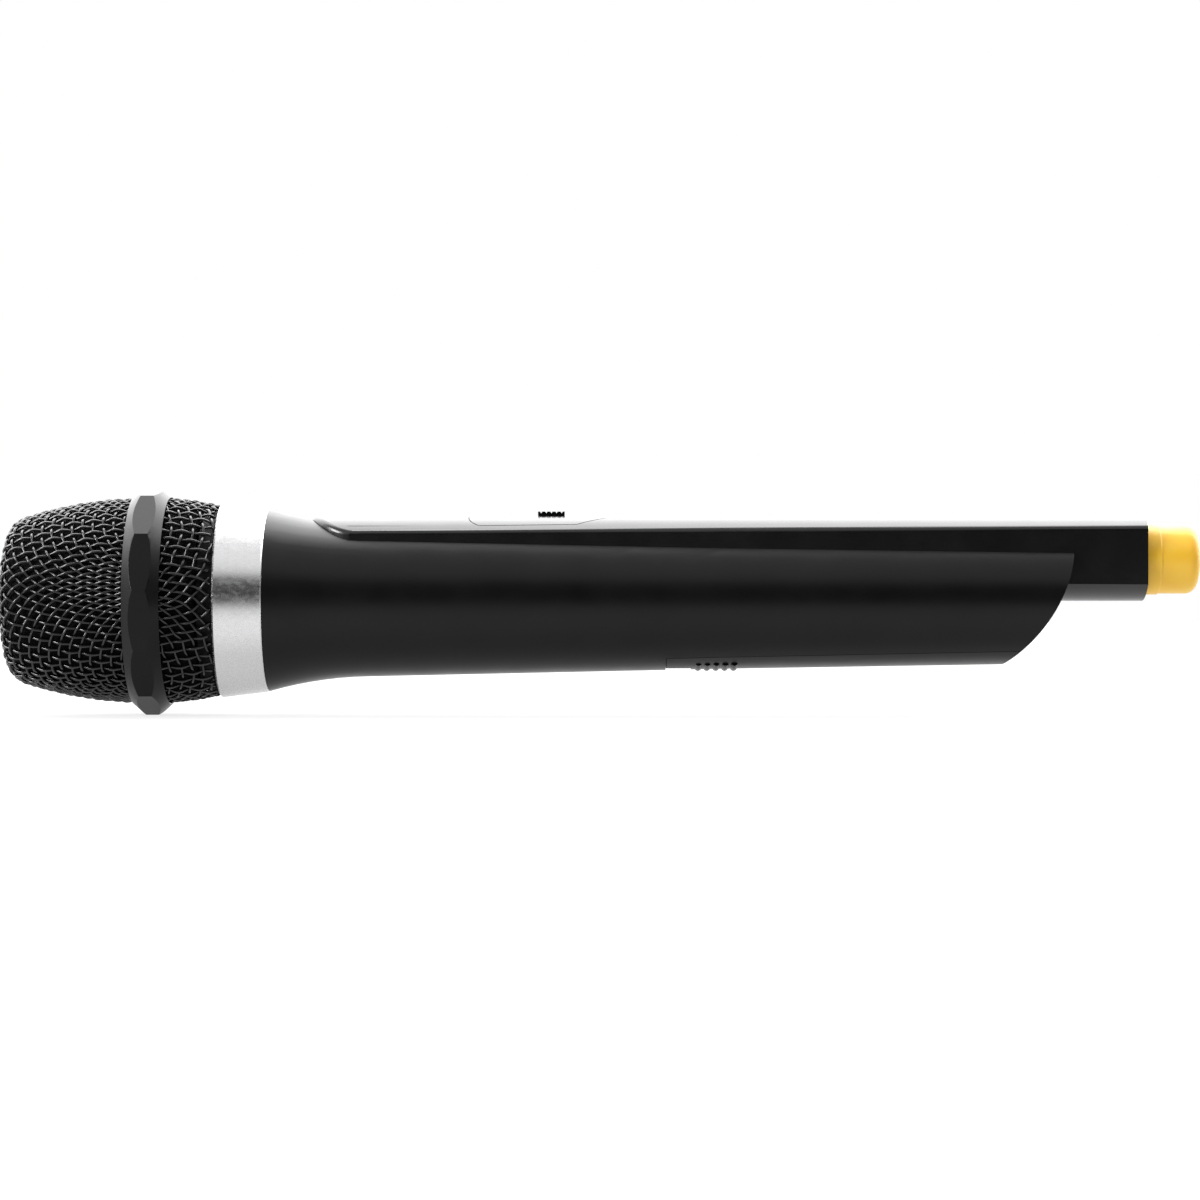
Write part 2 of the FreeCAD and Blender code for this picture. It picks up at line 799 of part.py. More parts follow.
def make_spine_cover(form):
    """The top module: one hollow moulding, open below, with three screw bosses under its roof."""
    wall = "-spine_wall"
    hollow = new_body("spine_hollow")
    pad(hollow, "XY_Plane", "spine_foot - 1", [plan_outline(wall)], "spine_ceiling - spine_foot + 1")
    inner = "spine_half_rear - tail_wall"
    pad(hollow, "YZ_Plane", "tail_start - 1", [[
        (f"-({inner})", "tail_floor + 3.6"),
        (inner, "tail_floor + 3.6"),
        (inner, "spine_ceiling - 1"),
        (f"-({inner})", "spine_ceiling - 1"),
    ]], "tail_face - tail_wall - tail_start + 1")
    bosses = [cylinder(f"screw_boss_{number}", "Z", "screw_boss", "spine_ceiling + 0.5 - spine_foot",
                       (station, "0", "spine_foot"))
              for number, station in enumerate(SCREW_STATIONS)]
    drills = [cylinder(f"screw_drill_{number}", "Z", "screw_shank", "screw_tip + 0.5 - (spine_foot - 1)",
                       (station, "0", "spine_foot - 1"))
              for number, station in enumerate(SCREW_STATIONS)]
    shell = cut("spine_shell", form, hollow)
    bossed = fused("spine_bossed", shell, *bosses)
    socket = cylinder("tip_socket", "X", "tip_plug_radius + tip_socket_gap", "tail_wall + 2",
                      ("tail_face - tail_wall - 1", "0", "tip_axis"))
    light_hole = cylinder("light_hole", "Z", "light_radius + light_gap", "6",
                          ("light_station", "0", "spine_ceiling - 2"))
    cut("spine_cover", bossed, *drills, socket, light_hole,
        plate_form("plate_recess", "plate_gap", "plate_thickness", "-1"), knob_slot("spine_knob_slot"))


SCREW_STATIONS = ["-46", "9", "81.5"]


# ---- switch ----

def plate_outline(growth):
    """The switch plate from above: rounded front corners, sides that draw in behind the knob."""
    front = f"plate_front - ({growth})"
    rear = f"plate_rear + ({growth})"
    half = f"plate_half + ({growth})"
    half_rear = f"plate_half_rear + ({growth})"
    end_half = f"plate_end_half + ({growth})"
    start_half = f"plate_half - plate_corner * 0.8 + ({growth})"
    return [
        (front, f"-({start_half})", "-plate_corner"),
        ("plate_bend_front", f"-({half})"),
        ("plate_bend_rear", f"-({half_rear})"),
        (rear, f"-({end_half})"),
        (rear, end_half),
        ("plate_bend_rear", half_rear),
        ("plate_bend_front", half, "-plate_corner"),
        (front, start_half),
    ]


def plate_form(name, growth, low, high):
    """A curved plate between two copies of the crown, low and high below it, in the plate's outline."""
    block = new_body(name + "_block")
    pad(block, "XY_Plane", "spine_foot + 4", [plate_outline(growth)], "spine_top - spine_foot - 2")
    pocket(block, "YZ_Plane", "0", [above_crown(high)])
    under = new_body(name + "_under")
    half = "spine_half_front + 1"
    edge = (f"spine_top - ({low}) - spine_crown"
            f" + sqrt((spine_crown) ^ 2 - ({half}) ^ 2)")
    pad(under, "YZ_Plane", "plate_front - 3", [[
        (f"-({half})", edge, "spine_crown"),
        (half, edge),
        (half, "spine_foot"),
        (f"-({half})", "spine_foot"),
    ]], "plate_rear - plate_front + 6")
    return cut(name, block, under)


def knob_slot(name):
    return box(name, "knob_front - knob_gap", "knob_front + knob_length + knob_travel + knob_gap",
               "-(knob_half + knob_gap)", "knob_half + knob_gap", "spine_ceiling - 1", "spine_top + 1")


def make_switch():
    light_hole = cylinder("plate_light_hole", "Z", "light_radius + light_gap", "6",
                          ("light_station", "0", "spine_ceiling - 2"))
    cut("switch_plate", plate_form("plate_blank", "0", "plate_thickness", "0"),
        knob_slot("plate_knob_slot"), light_hole)
    make_knob()
    body_low = "board_low + board_thickness"
    case = box("slide_switch_case", "knob_front - 3", "knob_front + 13", "-3.5", "3.5",
               body_low, f"{body_low} + 4.2")
    window = box("slide_switch_window", "knob_front + 1.7", "knob_front + 4.3 + knob_travel",
                 "-1.2", "1.2", f"{body_low} + 1.6", f"{body_low} + 5")
    cut("slide_switch", case, window)
    box("switch_actuator", "knob_front + 2", "knob_front + 4", "-1", "1",
        f"{body_low} + 1.8", "knob_flange_low")


def make_knob():
    """Grip with fine ribs, a stem through the slot, and a flange that keeps it from falling out."""
    knob = new_body("switch_knob")
    end = "knob_front + knob_length"
    pad(knob, "XY_Plane", "knob_flange_low", [[
        ("knob_front - knob_flange_extra", "-(knob_half + 1.8)"),
        (f"{end} + knob_flange_extra", "-(knob_half + 1.8)"),
        (f"{end} + knob_flange_extra", "knob_half + 1.8"),
        ("knob_front - knob_flange_extra", "knob_half + 1.8"),
    ]], "knob_flange_high - knob_flange_low")
    pad(knob, "XY_Plane", "knob_flange_high - 0.2", [[
        ("knob_front", "-knob_half"),
        (end, "-knob_half"),
        (end, "knob_half"),
        ("knob_front", "knob_half"),
    ]], "knob_top - knob_flange_high + 0.2")
    for number in range(int(size("knob_ribs")) + 1):
        groove = f"knob_front + 0.7 + {number} * (knob_length - 1.4) / knob_ribs"
        pocket(knob, "XZ_Plane", "0", [[
            (f"{groove} - 0.3", "knob_top + 0.1"),
            (groove, "knob_top - 0.4"),
            (f"{groove} + 0.3", "knob_top + 0.1"),
        ]])


def make_light():
    cylinder("light_pipe", "Z", "light_radius", "spine_top - 0.15 - (board_low + board_thickness + 1.3)",
             ("light_station", "0", "board_low + board_thickness + 1.3"))
    top = "board_low + board_thickness"
    box("led_chip", "light_station - 0.9", "light_station + 0.9", "-0.6", "0.6", top, f"{top} + 1")


# ---- inside the handle ----

def make_chassis():
    """Deck under the board, side rails, and a cradle below that is open towards the battery cover."""
    chassis = new_body("chassis")
    pad(chassis, "XY_Plane", "deck_low", [[
        ("chassis_front", "-chassis_half"),
        ("chassis_rear", "-chassis_half"),
        ("chassis_rear", "chassis_half"),
        ("chassis_front", "chassis_half"),
    ]], "board_low - deck_low")
    for side in ("1", "-1"):
        outer = f"chassis_half * {side}"
        inner = f"(chassis_half - rail_width) * {side}"
        pad(chassis, "XY_Plane", "board_low - 0.1", [[
            ("chassis_front", outer),
            ("chassis_rear", outer),
            ("chassis_rear", inner),
            ("chassis_front", inner),
        ]], "rail_height + 0.1")
    pad(chassis, "XY_Plane", "cradle_low", [[
        ("cradle_front", "-chassis_half"),
        ("cradle_rear", "-chassis_half"),
        ("cradle_rear", "chassis_half"),
        ("cradle_front", "chassis_half"),
    ]], "deck_low + 0.1 - cradle_low")
    bay = "battery_radius + battery_play"
    bay_length = "cradle_rear - cradle_front - 2 * cradle_end"
    pocket(chassis, "YZ_Plane", "cradle_front + cradle_end", [("circle", "0", "battery_axis", bay)],
           bay_length)
    pocket(chassis, "YZ_Plane", "cradle_front + cradle_end", [[
        (f"-({bay})", "battery_axis"),
        (bay, "battery_axis"),
        (bay, "cradle_low - 1"),
        (f"-({bay})", "cradle_low - 1"),
    ]], bay_length)
    pocket(chassis, "XY_Plane", "0",
           [("circle", station, "0", "screw_shank + 0.3") for station in SCREW_STATIONS])


def make_board():
    board = new_body("main_board")
    pad(board, "XY_Plane", "board_low", [[
        ("board_front", "-board_half"),
        ("board_rear", "-board_half"),
        ("board_rear", "board_half"),
        ("board_front", "board_half"),
    ]], "board_thickness")
    pocket(board, "XY_Plane", "0",
           [("circle", station, "0", "screw_boss + 0.3") for station in SCREW_STATIONS[:2]])
    top = "board_low + board_thickness"
    can = new_body("rf_shield")
    pad(can, "XY_Plane", top, [[
        ("can_front", "-can_half"),
        ("can_rear", "-can_half"),
        ("can_rear", "can_half"),
        ("can_front", "can_half"),
    ]], "can_height")
    pocket(can, "XY_Plane", top, [[
        ("can_front + can_wall", "-(can_half - can_wall)"),
        ("can_rear - can_wall", "-(can_half - can_wall)"),
        ("can_rear - can_wall", "can_half - can_wall"),
        ("can_front + can_wall", "can_half - can_wall"),
    ]], "can_height - can_wall")
    box("rf_chip", "radio_front", "radio_front + radio_side", "-radio_side / 2", "radio_side / 2",
        top, f"{top} + radio_height")
    box("audio_chip", "audio_front", "audio_front + audio_length", "-audio_width / 2",
        "audio_width / 2", top, f"{top} + audio_height")
    crystal = new_body("crystal")
    pad(crystal, "XY_Plane", top, [[
        ("crystal_front", "-crystal_half", "crystal_curve"),
        ("crystal_front", "crystal_half"),
        ("crystal_rear", "crystal_half", "crystal_curve"),
        ("crystal_rear", "-crystal_half"),
    ]], "crystal_height")
    cylinder("capacitor", "Z", "capacitor_radius", "capacitor_height",
             ("capacitor_station", "capacitor_radius", top))


def make_screws():
    """Three self-tapping screws, heads under the deck, threads in the top module's bosses."""
    screws = []
    for number, station in enumerate(SCREW_STATIONS):
        head = cylinder(f"screw_head_{number}", "Z", "screw_head", "screw_head_height",
                        (station, "0", "deck_low - screw_head_height"))
        shank = cylinder(f"screw_shank_{number}", "Z", "screw_shank", "screw_tip - deck_low + 0.2",
                         (station, "0", "deck_low - 0.2"))
        slot = box(f"screw_slot_{number}", f"{station} - 1.6", f"{station} + 1.6", "-0.3", "0.3",
                   "deck_low - screw_head_height - 0.1", "deck_low - screw_head_height + 0.6")
        screws.append(cut(f"screw_{number}", fused(f"screw_blank_{number}", head, shank), slot))
    group("cover_screws", *screws)


def make_battery():
    """One AA cell with its nub to the rear, a coil spring in front of it and a tab behind."""
    battery = turned_body("battery", [
        ("battery_front", "0"),
        ("battery_front", "battery_radius"),
        ("battery_front + battery_length - battery_nub_length", "battery_radius"),
        ("battery_front + battery_length - battery_nub_length", "battery_nub"),
        ("battery_front + battery_length", "battery_nub"),
        ("battery_front + battery_length", "0"),
    ])
    bind(battery, "Placement.Base.z", "battery_axis")
    end = "battery_front + battery_length"
    wall = "cradle_rear - cradle_end"
    plate = box("contact_plate", f"{wall} - 0.5", wall, "-5", "5", "battery_axis - 5", "battery_axis + 5")
    dimple = cylinder("contact_dimple", "X", "2", f"{wall} - 0.4 - ({end} + 0.02)",
                      (f"{end} + 0.02", "0", "battery_axis"))
    fused("battery_contact", plate, dimple)


def make_helix_wire(label, start, length, pitch, coil_radius, wire_radius, height):
    """Round wire wound about an axis parallel to X at the given height."""
    helix = Part.makeHelix(size(pitch), size(length), size(coil_radius))
    begin = FreeCAD.Vector(size(coil_radius), 0, 0)
    heading = FreeCAD.Vector(0, 2 * math.pi * size(coil_radius), size(pitch))
    section = Part.Wire(Part.makeCircle(size(wire_radius), begin, heading))
    sweep = Part.Wire(helix).makePipeShell([section], True, True)
    made = doc.addObject("Part::Feature", label)
    made.Shape = sweep
    made.Placement = FreeCAD.Placement(
        FreeCAD.Vector(size(start), 0, size(height)), AXIS_TURN["X"])
    return made


def make_lead(name, route, radius):
    """Insulated lead: straight runs joined by tangent arcs, along a route of (x, y, z) formulas."""
    points = [FreeCAD.Vector(*(size(word) for word in place)) for place in route]
    edges = []
    last = points[0]
    for before, corner, after in zip(points, points[1:], points[2:]):
        inward = (corner - before).normalize()
        onward = (after - corner).normalize()
        turned = inward.getAngle(onward)
        reach = 0.45 * min((corner - before).Length, (after - corner).Length)
        begin = corner - inward * reach
        finish = corner + onward * reach
        bow = reach / math.tan(turned / 2)
        centre_way = (onward - inward).normalize()
        centre = corner + centre_way * math.hypot(reach, bow)
        middle = centre - centre_way * bow
        edges.append(Part.LineSegment(last, begin).toShape())
        edges.append(Part.Arc(begin, middle, finish).toShape())
        last = finish
    edges.append(Part.LineSegment(last, points[-1]).toShape())
    path = Part.Wire(edges)
    heading = (points[1] - points[0]).normalize()
    section = Part.Wire(Part.makeCircle(size(radius), points[0], heading))
    made = doc.addObject("Part::Feature", name)
    made.Shape = path.makePipeShell([section], True, False)
    return made


def make_battery_cover(form, cavity):
    block = box("cover_block", "cover_front", "handle_reach", "-cover_half", "cover_half",
                "-30", "cover_top")
    plain = cut("cover_plain", common("cover_slice", form, block), cavity)
    ribs = [grip_rib(number) for number in range(int(size("grip_ribs")))]
    latch_tongue = box("latch_tongue", "latch_front", "cover_front + 2", "-latch_half", "latch_half",
                       "latch_low", "latch_high")
    latch_root = box("latch_root", "cover_front + 0.3", "cover_front + 2", "-latch_half", "latch_half",
                     "latch_low - 1.2", "latch_high")
    whole = fused("cover_whole", plain, latch_tongue, latch_root, *ribs)
    groove = box("thumb_groove", "cover_front - 1", "cover_front + thumb_length", "-6", "6",
                 "-30", "-(cover_low_radius - thumb_depth)")
    cut("battery_cover", whole, groove)


def grip_rib(number):
    """One bead across the cover, following the handle's round."""
    station = f"grip_first + {number} * grip_pitch"
    height = "-(cover_low_radius - grip_sink)"
    rib = new_body(f"grip_rib_{number}")
    turn(rib, [
        (f"{station} - grip_bead", height, "-grip_bead * 1.05"),
        (f"{station} + grip_bead", height),
    ], sweep="grip_sweep")
    return rib


def make_handle():
    """The shell, its battery cover and the top module share one outer form and one cavity."""
    form = make_handle_form()
    cavity = make_handle_cavity()
    slot = new_body("spine_slot")
    pad(slot, "XY_Plane", "spine_foot", [plan_outline("slot_gap")], "spine_top")
    notch = new_body("tail_notch")
    pad(notch, "XY_Plane", "tail_floor - slot_gap", [tail_outline("slot_gap")], "spine_top")
    window = box("cover_window", "cover_front - cover_gap", "handle_reach + 1",
                 "-(cover_half + cover_gap)", "cover_half + cover_gap", "-30", "cover_top + cover_gap")
    cut("handle_shell", form, cavity, slot, notch, window)
    make_battery_cover(form, cavity)
    make_spine_cover(make_spine_form())


# ---- antenna ----

def make_antenna():
    tip = turned_body("antenna_tip", [
        ("tail_face - tip_plug_length", "tip_bore"),
        ("tail_face - tip_plug_length", "tip_plug_radius"),
        ("tail_face", "tip_plug_radius"),
        ("tail_face", "tip_band_radius"),
        ("tail_face + tip_band_length", "tip_band_radius"),
        ("tail_face + tip_band_length + 0.3", "tip_radius"),
        ("tip_end - tip_round", "tip_radius", "tip_round"),
        ("tip_end", "tip_radius - tip_round"),
        ("tip_end", "0"),
        ("tail_face + tip_bore_depth", "0"),
        ("tail_face + tip_bore_depth", "tip_bore"),
    ])
    bind(tip, "Placement.Base.z", "tip_axis")
    make_helix_wire("antenna_coil", "aerial_start", "aerial_length", "aerial_pitch",
                    "aerial_radius", "aerial_wire", "tip_axis")


NODES = [
    "front_mesh", "front_foam", "rear_mesh", "rear_foam", "anti_roll_ring", "grille_neck",
    "grille_gasket", "collar_ring", "thread_insert", "capsule_holder", "capsule_mount",
    "capsule_housing", "capsule_cap", "diaphragm", "voice_coil", "magnet_cup", "magnet", "pole_piece",
    "capsule_leads", "handle_shell", "spine_cover", "switch_plate", "switch_knob", "switch_actuator",
    "slide_switch", "light_pipe", "led_chip", "main_board", "rf_shield", "rf_chip", "audio_chip",
    "crystal", "capacitor", "chassis", "cover_screws", "battery", "battery_spring", "battery_contact",
    "battery_leads", "battery_cover", "antenna_tip", "antenna_coil", "antenna_lead",
]


def make_leads():
    top = "board_low + board_thickness"
    capsule = [make_lead(f"capsule_lead_{side}", [
        ("cup_rear + 0.6", f"{side} * 4", "0"),
        ("-84", f"{side} * 4", "0"),
        ("-75", f"{side} * 3.6", "2.6"),
        ("-67", f"{side} * 3", "5.6"),
        ("board_front - 2.5", f"{side} * 3", f"{top} + 0.55"),
        ("board_front + 6", f"{side} * 3", f"{top} + 0.55"),
    ], "0.5") for side in (-1, 1)]
    group("capsule_leads", *capsule)
    power = [make_lead(f"battery_lead_{side}", [
        ("cradle_rear + 0.2", f"{side} * 3", "0"),
        ("cradle_rear + 2.2", f"{side} * 3", "0.2"),
        ("cradle_rear + 3.6", f"{side} * 5", "1.6"),
        ("cradle_rear + 3.4", f"{side} * 5.2", "3"),
    ], "0.5") for side in (-1, 1)]
    group("battery_leads", *power)
    make_lead("antenna_lead", [
        ("board_rear - 3", "-3", f"{top} + 0.1"),
        ("board_rear - 3", "-3", f"{top} + 2.5"),
        ("board_rear + 4", "-4", "tip_axis"),
        ("aerial_start - 6", "-3.4", "tip_axis"),
        ("aerial_start - 0.5", "-3.4", "tip_axis"),
    ], "0.4")


def check_and_write():
    doc.recompute()
    for thing in doc.Objects:
        if {"Invalid", "Error"} & set(thing.State):
            raise RuntimeError(f"{thing.Name} failed to compute")
    os.makedirs("parts", exist_ok=True)
    for name in NODES:
        thing = doc.getObject(name)
        shape = thing.Shape
        if shape.isNull() or not shape.isValid() or not shape.Solids:
            raise RuntimeError(f"{name} has no sound solid")
        thing.Label = name
        shape.exportStep(f"parts/{name}.step")
        low, high = shape.BoundBox.XMin, shape.BoundBox.XMax
        print(f"{name:18} {len(shape.Solids)} solids  {shape.Volume:9.1f} mm3  x {low:7.1f} to {high:7.1f}")


def build():
    fill_sheet()
    make_front_mesh()
    make_front_foam()
    make_rear_mesh()
    make_rear_foam()
    make_anti_roll_ring()
    make_grille_neck()
    make_tube("grille_gasket", "gasket_front", "gasket_rear", "neck_thread_radius + gasket_gap",
              "gasket_radius")
    make_collar_ring()
    make_thread_insert()
    make_capsule()
    make_capsule_post()
    make_handle()
    make_switch()
    make_light()
    make_chassis()
    make_board()
    make_screws()
    make_battery()
    make_helix_wire("battery_spring", "cradle_front + cradle_end + 0.5",
                    "battery_front - cradle_front - cradle_end - 1", "1.2", "3.6", "0.35", "battery_axis")
    make_antenna()
    make_leads()
    check_and_write()


build()
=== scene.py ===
import bpy
import math
import numpy as np
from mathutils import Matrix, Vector


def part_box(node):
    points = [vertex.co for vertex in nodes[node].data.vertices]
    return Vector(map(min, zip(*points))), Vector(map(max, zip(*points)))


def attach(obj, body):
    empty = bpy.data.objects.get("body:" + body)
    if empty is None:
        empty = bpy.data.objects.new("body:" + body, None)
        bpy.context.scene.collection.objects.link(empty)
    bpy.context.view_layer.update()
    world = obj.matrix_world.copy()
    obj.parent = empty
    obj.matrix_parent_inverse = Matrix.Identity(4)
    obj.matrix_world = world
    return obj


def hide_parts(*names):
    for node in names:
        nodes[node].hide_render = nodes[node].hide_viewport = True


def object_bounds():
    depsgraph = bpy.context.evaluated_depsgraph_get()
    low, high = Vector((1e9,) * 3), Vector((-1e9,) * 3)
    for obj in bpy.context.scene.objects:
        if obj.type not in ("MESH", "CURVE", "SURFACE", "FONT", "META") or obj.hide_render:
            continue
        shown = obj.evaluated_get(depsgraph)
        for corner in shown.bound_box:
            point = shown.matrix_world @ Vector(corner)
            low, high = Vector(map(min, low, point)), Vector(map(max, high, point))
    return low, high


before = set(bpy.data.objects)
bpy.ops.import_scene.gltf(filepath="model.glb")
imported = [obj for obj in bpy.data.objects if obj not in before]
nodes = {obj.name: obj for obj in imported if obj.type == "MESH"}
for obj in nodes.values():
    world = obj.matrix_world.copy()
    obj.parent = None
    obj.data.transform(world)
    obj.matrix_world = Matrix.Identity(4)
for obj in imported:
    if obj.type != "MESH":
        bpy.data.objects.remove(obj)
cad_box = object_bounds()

# Looks of a wireless karaoke microphone. Metres; +X runs from the grille to the antenna tip and
# +Z is the side with the switch. Names that end in _MM are millimetres.

MM = 0.001
SIDES = 6                 # flats round one wire
STEPS = 4                 # stretches between two crossings of a wire
WIRE_MM = 0.58            # wire diameter
CELL_MM = 2.33            # from one wire to the next
MOST_CELLS = 40           # more than any wire has from the pole to the rim
GIVE = 0.3                # share of a wire's crowding that the wires' own give takes up
PAST_RIM_MM = 8.0         # how far the net is followed past a cup's rim before it is cut
NORMAL_BLEND_MM = 0.25    # depth over which the directions of two facets blend
FACING = math.pi          # direction round the axis that looks at the camera
UNEVEN_MM = 0.035         # how far drawn wire strays from an even net
HALVINGS = 26             # steps of the search for a crossing on the cup
SAME_POINT_MM = 0.15      # points of an outline closer than this count as one
FRONT_TURN = FACING - math.radians(7.5 + 45)    # how each cup's net is turned about the axis,
REAR_TURN = FACING + math.radians(2 - 45)       # 45 degrees being from its wires to its diagonal
FRONT_SEED, REAR_SEED = 11, 23

LENS_MM = 98.9
CAMERA_PLACE = (0.0002, -0.742, 0.0001)
CEILING, GAP = 0.85, 0.02   # light from above and from the dark gap behind the camera
BACKGROUND = (2.0, 5.5)     # what the lit background adds, low down and high up
FLOOR_HALF = 3.0
SOFTBOX_AIM = (-0.11, 0, 0)

scene = bpy.context.scene


# ---- making pieces ----

def new_piece(name, verts, faces, smooth=True):
    """A mesh object in the scene, its points in metres."""
    mesh = bpy.data.meshes.new(name)
    mesh.from_pydata([tuple(v) for v in verts], [], [tuple(f) for f in faces])
    mesh.validate()
    mesh.update()
    mesh.polygons.foreach_set("use_smooth", [smooth] * len(mesh.polygons))
    piece = bpy.data.objects.new(name, mesh)
    scene.collection.objects.link(piece)
    return piece


def vertices_of(node):
    """A CAD node's vertices in millimetres."""
    found = np.zeros(len(nodes[node].data.vertices) * 3)
    nodes[node].data.vertices.foreach_get("co", found)
    return found.reshape(-1, 3) / MM


def outer_line(node):
    """Outer edge of a turned CAD node as (x, r) points from front to rear, in millimetres."""
    found = vertices_of(node)
    points = sorted(set(zip(found[:, 0].round(3), np.hypot(found[:, 1], found[:, 2]).round(3))))
    line = []
    for point in points:
        while len(line) > 1 and cross(line[-2], line[-1], point) >= 0:
            line.pop()
        line.append(point)
    return [p for i, p in enumerate(line) if i == 0 or math.dist(p, line[i - 1]) > SAME_POINT_MM]


def cross(a, b, c):
    """Above zero where the way from a through b to c turns left."""
    return (b[0] - a[0]) * (c[1] - a[1]) - (b[1] - a[1]) * (c[0] - a[0])


# ---- woven wire drawn into a cup ----

class Cup:
    """A convex surface of revolution, given by its line of (x, r) points from the pole to the rim."""

    def __init__(self, line):
        self.line = np.array(line)
        step = self.line[1:] - self.line[:-1]
        length = np.hypot(step[:, 0], step[:, 1])
        self.along = np.concatenate([[0.0], np.cumsum(length)])
        self.way = step / length[:, None]
        side = np.sign(self.line[-1, 0] - self.line[0, 0])
        self.normal = np.stack([-side * self.way[:, 1], side * self.way[:, 0]], 1)
        self.reach = (self.line[:-1] * self.normal).sum(1)

    def height(self, p):
        """How far p is outside the surface."""
        flat = np.array([p[0], math.hypot(p[1], p[2])])
        return (self.normal @ flat - self.reach).max()

    def up(self, p):
        """Direction out of the surface, blended where two stretches of the line meet."""
        radius = math.hypot(p[1], p[2])
        depth = self.normal @ np.array([p[0], radius]) - self.reach
        weight = np.exp((depth - depth.max()) / NORMAL_BLEND_MM)
        along, out = (weight[:, None] * self.normal).sum(0) / weight.sum()
        if radius < 1e-6:
            return np.array([np.sign(along), 0.0, 0.0])
        return unit(np.array([along, out * p[1] / radius, out * p[2] / radius]))

    def swing(self, centre, forward, out, radius):
        """The point of the surface on an arc from straight inward to straight outward."""
        low, high = -math.pi / 2, math.pi / 2
        for _ in range(HALVINGS):
            angle = (low + high) / 2
            spot = centre + radius * (math.cos(angle) * forward + math.sin(angle) * out)
            if self.height(spot) > 0:
                high = angle
            else:
                low = angle
        return spot

    def distance(self, p):
        """Length along the line from the pole to the point of the surface nearest to p."""
        flat = np.array([p[0], math.hypot(p[1], p[2])])
        away = flat - self.line[:-1]
        share = np.clip((away * self.way).sum(1), 0, np.diff(self.along))
        gap = np.hypot(*(away - share[:, None] * self.way).T)
        best = gap.argmin()
        return self.along[best] + share[best]

    def at(self, distance, p):
        """The point of the surface at that length from the pole, in p's direction from the axis."""
        x = np.interp(distance, self.along, self.line[:, 0])
        r = np.interp(distance, self.along, self.line[:, 1])
        radius = max(math.hypot(p[1], p[2]), 1e-9)
        return np.array([x, r * p[1] / radius, r * p[2] / radius])

    def relaxed(self, share):
        """The shallower cup that the cloth would fit if its wires gave way by that share."""
        radius = self.line[:, 1] + share * (self.along - self.line[:, 1])
        steps = np.sqrt(np.maximum(np.diff(self.along) ** 2 - np.diff(radius) ** 2, 0.0))
        side = np.sign(self.line[-1, 0] - self.line[0, 0])
        x = self.line[0, 0] + side * np.concatenate([[0.0], np.cumsum(steps)])
        return Cup(np.stack([x, radius], 1))


def sunk(line, depth):
    """The line moved into the cup, with a straight stretch added past its rim."""
    points = np.array(line)
    side = np.sign(points[-1, 0] - points[0, 0])
    way = np.gradient(points, axis=0)
    way /= np.hypot(way[:, 0], way[:, 1])[:, None]
    points = points - depth * np.stack([-side * way[:, 1], side * way[:, 0]], 1)
    points[0, 1] = 0.0
    return np.concatenate([points, [points[-1] + PAST_RIM_MM * way[-1]]])


def unit(v):
    return v / np.linalg.norm(v)


def quarter_net(cup, cell, rim):
    """Crossings (i, j) of a net drawn over the cup, between wires that leave the pole along Y and Z."""
    form = cup.relaxed(GIVE)
    side = np.sign(form.line[-1, 0] - form.line[0, 0])
    here = np.array([form.line[0, 0], 0.0, 0.0])
    net = {(0, 0): here}
    for count in range(1, MOST_CELLS):
        up = form.up(here)
        forward = np.array([side * up[1], -side * up[0], 0.0])
        here = form.swing(here, forward, up, cell)
        net[(count, 0)] = here
        net[(0, count)] = np.array([here[0], 0.0, here[1]])
        if form.distance(here) > rim:
            break
    for i in range(1, MOST_CELLS):
        for j in range(1, MOST_CELLS):
            a, b, o = net.get((i - 1, j)), net.get((i, j - 1)), net.get((i - 1, j - 1))
            if a is None or b is None or o is None or min(form.distance(a), form.distance(b)) > rim:
                continue
            across = b - a
            centre = (a + b) / 2
            half = np.linalg.norm(across) / 2
            if half >= cell:
                continue
            forward = centre - o
            forward = unit(forward - across * (forward @ across) / (across @ across))
            up = np.cross(across, forward)
            up = unit(up * np.sign(up @ form.up(centre)))
            net[(i, j)] = form.swing(centre, forward, up, math.sqrt(cell * cell - half * half))
    return {key: cup.at(form.distance(spot), spot) for key, spot in net.items()}


def whole_net(quarter, turn, seed):
    """The quarter net turned to all four sides, with the small unevenness of drawn wire."""
    rng = np.random.default_rng(seed)
    net = {}
    for k in range(4):
        c, s = math.cos(turn + k * math.pi / 2), math.sin(turn + k * math.pi / 2)
        for (i, j), p in sorted(quarter.items()):
            u, v = [(i, j), (-j, i), (-i, -j), (j, -i)][k]
            if (u, v) in net:
                continue
            spot = np.array([p[0], c * p[1] - s * p[2], s * p[1] + c * p[2]])
            net[(u, v)] = spot + rng.normal(0, UNEVEN_MM, 3)
    return net


def wires_of(net, cup, amplitude):
    """Centre lines of all wires, over and under in turn, with the surface's direction at each point."""
    wires = []
    for way in (0, 1):
        rows = {}
        for u, v in net:
            rows.setdefault(v if way == 0 else u, []).append(u if way == 0 else v)
        for fixed, places in sorted(rows.items()):
            places.sort()
            run = []
            for place in places + [None]:
                if run and place == run[-1] + 1:
                    run.append(place)
                    continue
                if len(run) > 1:
                    keys = [(q, fixed) if way == 0 else (fixed, q) for q in run]
                    wires.append(wavy(net, keys, cup, amplitude * (1 if way == 0 else -1)))
                run = [place]
    return wires


